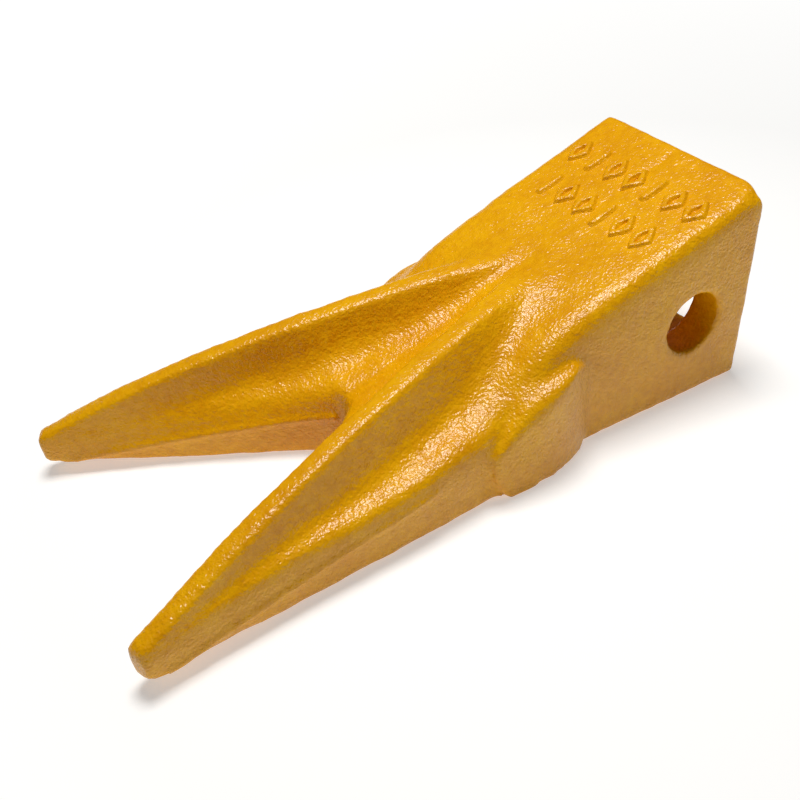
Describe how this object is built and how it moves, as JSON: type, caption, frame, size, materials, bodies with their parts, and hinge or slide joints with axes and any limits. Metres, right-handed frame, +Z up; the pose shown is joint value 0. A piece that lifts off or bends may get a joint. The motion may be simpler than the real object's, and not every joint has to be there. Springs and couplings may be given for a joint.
{
  "type": "forked bucket tooth",
  "caption": "Cast digging tooth with a wedge socket and a cross bore at the back, forking into ridged prongs that end in blunt chisel tips.",
  "frame": {"origin": "centre of the pin bore, on the tooth's middle plane", "axes": "+X towards the prong tips, +Y along the pin bore, +Z up with the flat underside below"},
  "size_m": [0.2602, 0.1266, 0.0833],
  "materials": {
    "painted_casting": "glossy yellow enamel over rough sand-cast steel"
  },
  "bodies": {
    "root": {"socket_box": "painted_casting", "prong_left": "painted_casting", "prong_right": "painted_casting", "cheek_left": "painted_casting", "cheek_right": "painted_casting", "cast_mark": "painted_casting"}
  },
  "joints": []
}
